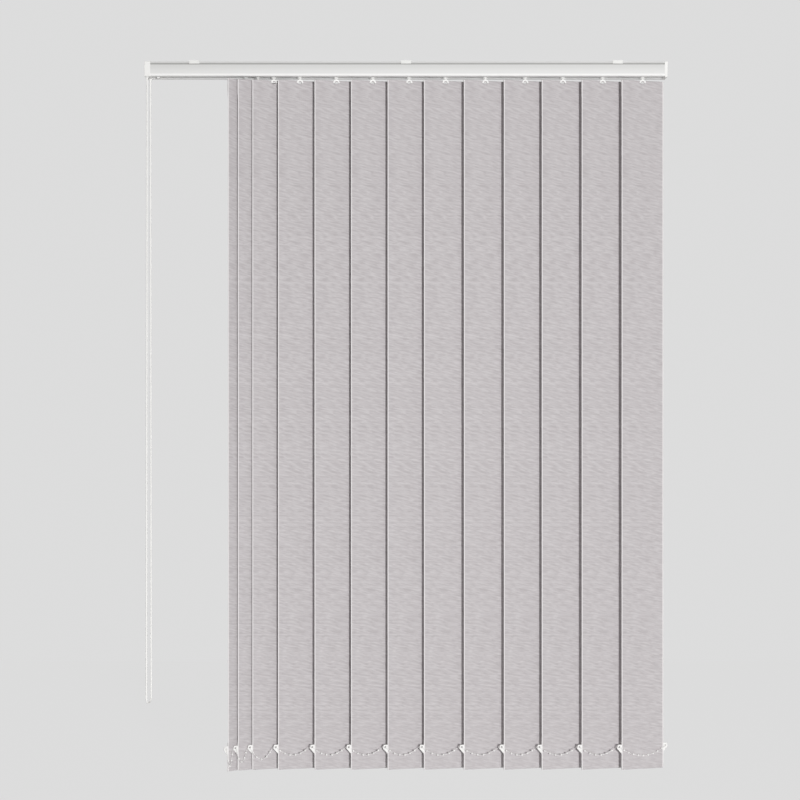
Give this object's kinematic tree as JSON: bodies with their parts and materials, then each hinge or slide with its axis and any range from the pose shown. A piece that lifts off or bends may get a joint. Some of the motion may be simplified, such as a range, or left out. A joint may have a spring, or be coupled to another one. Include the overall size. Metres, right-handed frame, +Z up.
{
  "type": "vertical blind",
  "caption": "Vertical window blind: fabric louvres hang by hooks from linked carriers in a slotted headrail, with a bead chain along their bottom weights and a control cord loop.",
  "frame": {"origin": "middle of the centre clip's screw hole, on the fixing plane", "axes": "+Z up to the fixing surface, +X along the headrail to the stacking end, -Y to the room"},
  "size_m": [1.0456, 0.0709, 1.4125],
  "materials": {
    "rail_finish": "satin white",
    "cap_plastic": "moulded white",
    "clip_plastic": "moulded white",
    "hook_plastic": "moulded white",
    "inner_plastic": "moulded",
    "louvre_cloth": "woven",
    "chain_plastic": "moulded white",
    "cord": "braided white",
    "rod_metal": "mill"
  },
  "bodies": {
    "headrail": {"headrail": "rail_finish", "control_end_cap": "cap_plastic", "far_end_cap": "cap_plastic", "mounting_clips": "clip_plastic", "carrier_stop": "cap_plastic", "control_cord": "cord", "carrier_13": "inner_plastic"},
    "tilt_rod": {"tilt_rod": "rod_metal"},
    "control_wheel": {"control_wheel": "inner_plastic"},
    "carrier_01": {"carrier_01": "inner_plastic"},
    "carrier_02": {"carrier_02": "inner_plastic"},
    "carrier_03": {"carrier_03": "inner_plastic"},
    "carrier_04": {"carrier_04": "inner_plastic"},
    "carrier_05": {"carrier_05": "inner_plastic"},
    "carrier_06": {"carrier_06": "inner_plastic"},
    "carrier_07": {"carrier_07": "inner_plastic"},
    "carrier_08": {"carrier_08": "inner_plastic"},
    "carrier_09": {"carrier_09": "inner_plastic"},
    "carrier_10": {"carrier_10": "inner_plastic"},
    "carrier_11": {"carrier_11": "inner_plastic"},
    "carrier_12": {"carrier_12": "inner_plastic"},
    "louvre_01": {"louvre_01": "louvre_cloth", "hook_01": "hook_plastic"},
    "louvre_02": {"louvre_02": "louvre_cloth", "hook_02": "hook_plastic"},
    "louvre_03": {"louvre_03": "louvre_cloth", "hook_03": "hook_plastic"},
    "louvre_04": {"louvre_04": "louvre_cloth", "hook_04": "hook_plastic"},
    "louvre_05": {"louvre_05": "louvre_cloth", "hook_05": "hook_plastic"},
    "louvre_06": {"louvre_06": "louvre_cloth", "hook_06": "hook_plastic"},
    "louvre_07": {"louvre_07": "louvre_cloth", "hook_07": "hook_plastic"},
    "louvre_08": {"louvre_08": "louvre_cloth", "hook_08": "hook_plastic"},
    "louvre_09": {"louvre_09": "louvre_cloth", "hook_09": "hook_plastic"},
    "louvre_10": {"louvre_10": "louvre_cloth", "hook_10": "hook_plastic"},
    "louvre_11": {"louvre_11": "louvre_cloth", "hook_11": "hook_plastic"},
    "louvre_12": {"louvre_12": "louvre_cloth", "hook_12": "hook_plastic"},
    "louvre_13": {"louvre_13": "louvre_cloth", "hook_13": "hook_plastic", "chain_13": "chain_plastic"},
    "chain_01": {"chain_01": "chain_plastic"},
    "chain_02": {"chain_02": "chain_plastic"},
    "chain_03": {"chain_03": "chain_plastic"},
    "chain_04": {"chain_04": "chain_plastic"},
    "chain_05": {"chain_05": "chain_plastic"},
    "chain_06": {"chain_06": "chain_plastic"},
    "chain_07": {"chain_07": "chain_plastic"},
    "chain_08": {"chain_08": "chain_plastic"},
    "chain_09": {"chain_09": "chain_plastic"},
    "chain_10": {"chain_10": "chain_plastic"},
    "chain_11": {"chain_11": "chain_plastic"},
    "chain_12": {"chain_12": "chain_plastic"}
  },
  "joints": [
    {"name": "draw_01", "type": "slide", "parent": "carrier_02", "child": "carrier_01", "axis": [1, 0, 0], "range_m": [-0.05556, 0], "deforming": ["chain_01"]},
    {"name": "draw_02", "type": "slide", "parent": "carrier_03", "child": "carrier_02", "axis": [1, 0, 0], "range_m": [-0.04816, 0.00121], "deforming": ["chain_02"]},
    {"name": "draw_03", "type": "slide", "parent": "carrier_04", "child": "carrier_03", "axis": [1, 0, 0], "range_m": [-0.02778, 0.0256], "deforming": ["chain_03"]},
    {"name": "draw_04", "type": "slide", "parent": "carrier_05", "child": "carrier_04", "axis": [1, 0, 0], "range_m": [-0.00677, 0.05283], "deforming": ["chain_04"]},
    {"name": "draw_05", "type": "slide", "parent": "carrier_06", "child": "carrier_05", "axis": [1, 0, 0], "range_m": [-0.00677, 0.05283], "deforming": ["chain_05"]},
    {"name": "draw_06", "type": "slide", "parent": "carrier_07", "child": "carrier_06", "axis": [1, 0, 0], "range_m": [-0.00677, 0.05283], "deforming": ["chain_06"]},
    {"name": "draw_07", "type": "slide", "parent": "carrier_08", "child": "carrier_07", "axis": [1, 0, 0], "range_m": [-0.007, 0.0526], "deforming": ["chain_07"]},
    {"name": "draw_08", "type": "slide", "parent": "carrier_09", "child": "carrier_08", "axis": [1, 0, 0], "range_m": [0, 0.0596], "deforming": ["chain_08"]},
    {"name": "draw_09", "type": "slide", "parent": "carrier_10", "child": "carrier_09", "axis": [1, 0, 0], "range_m": [0, 0.0596], "deforming": ["chain_09"]},
    {"name": "draw_10", "type": "slide", "parent": "carrier_11", "child": "carrier_10", "axis": [1, 0, 0], "range_m": [-0.00414, 0.05546], "deforming": ["chain_10"]},
    {"name": "draw_11", "type": "slide", "parent": "carrier_12", "child": "carrier_11", "axis": [1, 0, 0], "range_m": [0, 0.0596], "deforming": ["chain_11"]},
    {"name": "draw_12", "type": "slide", "parent": "headrail", "child": "carrier_12", "axis": [1, 0, 0], "range_m": [0, 0.0596], "deforming": ["chain_12"]},
    {"name": "tilt_01", "type": "hinge", "parent": "carrier_01", "child": "louvre_01", "pos_m": [-0.31966, 0, -0.037], "axis": [0, 0, 1], "range_deg": [0, 100]},
    {"name": "tilt_02", "type": "hinge", "parent": "carrier_02", "child": "louvre_02", "pos_m": [-0.29562, 0, -0.037], "axis": [0, 0, 1], "range_deg": [0, 124]},
    {"name": "tilt_03", "type": "hinge", "parent": "carrier_03", "child": "louvre_03", "pos_m": [-0.26418, 0, -0.037], "axis": [0, 0, 1], "range_deg": [0, 144]},
    {"name": "tilt_04", "type": "hinge", "parent": "carrier_04", "child": "louvre_04", "pos_m": [-0.21236, 0, -0.037], "axis": [0, 0, 1], "range_deg": [0, 151]},
    {"name": "tilt_05", "type": "hinge", "parent": "carrier_05", "child": "louvre_05", "pos_m": [-0.13952, 0, -0.037], "axis": [0, 0, 1], "range_deg": [0, 151]},
    {"name": "tilt_06", "type": "hinge", "parent": "carrier_06", "child": "louvre_06", "pos_m": [-0.06669, 0, -0.037], "axis": [0, 0, 1], "range_deg": [0, 151]},
    {"name": "tilt_07", "type": "hinge", "parent": "carrier_07", "child": "louvre_07", "pos_m": [0.00614, 0, -0.037], "axis": [0, 0, 1], "range_deg": [0, 151]},
    {"name": "tilt_08", "type": "hinge", "parent": "carrier_08", "child": "louvre_08", "pos_m": [0.07874, 0, -0.037], "axis": [0, 0, 1], "range_deg": [0, 151]},
    {"name": "tilt_09", "type": "hinge", "parent": "carrier_09", "child": "louvre_09", "pos_m": [0.15834, 0, -0.037], "axis": [0, 0, 1], "range_deg": [0, 151]},
    {"name": "tilt_10", "type": "hinge", "parent": "carrier_10", "child": "louvre_10", "pos_m": [0.23794, 0, -0.037], "axis": [0, 0, 1], "range_deg": [0, 151]},
    {"name": "tilt_11", "type": "hinge", "parent": "carrier_11", "child": "louvre_11", "pos_m": [0.3134, 0, -0.037], "axis": [0, 0, 1], "range_deg": [0, 151]},
    {"name": "tilt_12", "type": "hinge", "parent": "carrier_12", "child": "louvre_12", "pos_m": [0.393, 0, -0.037], "axis": [0, 0, 1], "range_deg": [0, 151]},
    {"name": "tilt_13", "type": "hinge", "parent": "headrail", "child": "louvre_13", "pos_m": [0.4726, 0, -0.037], "axis": [0, 0, 1], "range_deg": [0, 151]},
    {"name": "rod_turn", "type": "hinge", "parent": "headrail", "child": "tilt_rod", "pos_m": [0, 0.0106, -0.017], "axis": [1, 0, 0], "range_deg": [0, 1510]},
    {"name": "wheel_turn", "type": "hinge", "parent": "headrail", "child": "control_wheel", "pos_m": [-0.5177, 0, -0.0165], "axis": [1, 0, 0], "range_deg": [-755, 0]},
    {"name": "chain_12_swing", "type": "hinge", "parent": "louvre_12", "child": "chain_12", "pos_m": [0.34537, -0.01232, -1.3672], "axis": [0, 0, 1], "range_deg": [-151, 0]},
    {"name": "chain_01_draw", "type": "slide", "parent": "chain_02", "child": "chain_01", "axis": [1, 0, 0], "range_m": [-0.05556, 0]},
    {"name": "chain_02_draw", "type": "slide", "parent": "chain_03", "child": "chain_02", "axis": [1, 0, 0], "range_m": [-0.04816, 0.00121]},
    {"name": "chain_03_draw", "type": "slide", "parent": "chain_04", "child": "chain_03", "axis": [1, 0, 0], "range_m": [-0.02778, 0.0256]},
    {"name": "chain_04_draw", "type": "slide", "parent": "chain_05", "child": "chain_04", "axis": [1, 0, 0], "range_m": [-0.00677, 0.05283]},
    {"name": "chain_05_draw", "type": "slide", "parent": "chain_06", "child": "chain_05", "axis": [1, 0, 0], "range_m": [-0.00677, 0.05283]},
    {"name": "chain_06_draw", "type": "slide", "parent": "chain_07", "child": "chain_06", "axis": [1, 0, 0], "range_m": [-0.00677, 0.05283]},
    {"name": "chain_07_draw", "type": "slide", "parent": "chain_08", "child": "chain_07", "axis": [1, 0, 0], "range_m": [-0.007, 0.0526]},
    {"name": "chain_08_draw", "type": "slide", "parent": "chain_09", "child": "chain_08", "axis": [1, 0, 0], "range_m": [0, 0.0596]},
    {"name": "chain_09_draw", "type": "slide", "parent": "chain_10", "child": "chain_09", "axis": [1, 0, 0], "range_m": [0, 0.0596]},
    {"name": "chain_10_draw", "type": "slide", "parent": "chain_11", "child": "chain_10", "axis": [1, 0, 0], "range_m": [-0.00414, 0.05546]},
    {"name": "chain_11_draw", "type": "slide", "parent": "chain_12", "child": "chain_11", "axis": [1, 0, 0], "range_m": [0, 0.0596]}
  ],
  "couplings": [
    {"joint": "tilt_01", "follows": "tilt_13", "ratio": 0.66225},
    {"joint": "tilt_02", "follows": "tilt_13", "ratio": 0.82119},
    {"joint": "tilt_03", "follows": "tilt_13", "ratio": 0.95364},
    {"joint": "tilt_04", "follows": "tilt_13", "ratio": 1},
    {"joint": "tilt_05", "follows": "tilt_13", "ratio": 1},
    {"joint": "tilt_06", "follows": "tilt_13", "ratio": 1},
    {"joint": "tilt_07", "follows": "tilt_13", "ratio": 1},
    {"joint": "tilt_08", "follows": "tilt_13", "ratio": 1},
    {"joint": "tilt_09", "follows": "tilt_13", "ratio": 1},
    {"joint": "tilt_10", "follows": "tilt_13", "ratio": 1},
    {"joint": "tilt_11", "follows": "tilt_13", "ratio": 1},
    {"joint": "tilt_12", "follows": "tilt_13", "ratio": 1},
    {"joint": "rod_turn", "follows": "tilt_13", "ratio": 10},
    {"joint": "wheel_turn", "follows": "tilt_13", "ratio": -5},
    {"joint": "chain_12_swing", "follows": "tilt_13", "ratio": -1},
    {"joint": "chain_01_draw", "follows": "draw_01", "ratio": 1},
    {"joint": "chain_02_draw", "follows": "draw_02", "ratio": 1},
    {"joint": "chain_03_draw", "follows": "draw_03", "ratio": 1},
    {"joint": "chain_04_draw", "follows": "draw_04", "ratio": 1},
    {"joint": "chain_05_draw", "follows": "draw_05", "ratio": 1},
    {"joint": "chain_06_draw", "follows": "draw_06", "ratio": 1},
    {"joint": "chain_07_draw", "follows": "draw_07", "ratio": 1},
    {"joint": "chain_08_draw", "follows": "draw_08", "ratio": 1},
    {"joint": "chain_09_draw", "follows": "draw_09", "ratio": 1},
    {"joint": "chain_10_draw", "follows": "draw_10", "ratio": 1},
    {"joint": "chain_11_draw", "follows": "draw_11", "ratio": 1}
  ]
}
